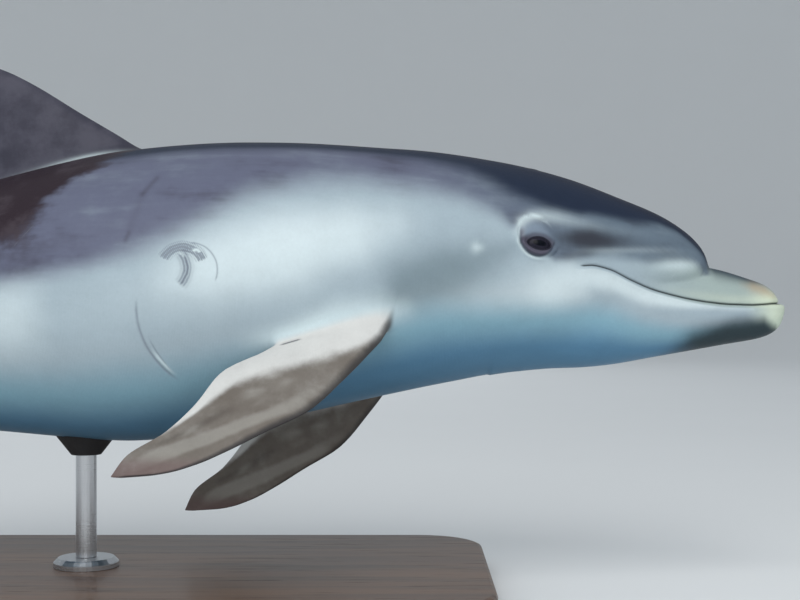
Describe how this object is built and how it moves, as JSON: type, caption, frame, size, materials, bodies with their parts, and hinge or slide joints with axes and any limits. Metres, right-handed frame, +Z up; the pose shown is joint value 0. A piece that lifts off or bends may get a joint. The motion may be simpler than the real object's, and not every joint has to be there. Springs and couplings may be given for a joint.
{
  "type": "bottlenose dolphin model",
  "caption": "Life-size young bottlenose dolphin in a level swimming pose with a slight bank, held by a low base and two short rods.",
  "frame": {"origin": "centre of the underside of the stand's base", "axes": "+X towards the head, +Z up, the dolphin's right side towards -Y"},
  "size_m": [1.3096, 0.3636, 0.4704],
  "materials": {
    "skin": "smooth wet-looking skin, slate grey above and pale below",
    "eye": "polished",
    "stand_wood": "dark satin lacquer",
    "stand_steel": "brushed",
    "stand_rubber": "matt"
  },
  "bodies": {
    "root": {"head": "skin", "upper_jaw": "skin", "lower_jaw": "skin", "trunk": "skin", "tail_stock": "skin", "dorsal_fin": "skin", "flipper_right": "skin", "flipper_left": "skin", "fluke_right": "skin", "fluke_left": "skin", "eye_right": "eye", "eye_left": "eye", "stand_base": "stand_wood", "stand_foot_front": "stand_steel", "stand_foot_rear": "stand_steel", "stand_rod_front": "stand_steel", "stand_rod_rear": "stand_steel", "stand_saddle_front": "stand_rubber", "stand_saddle_rear": "stand_rubber"}
  },
  "joints": []
}
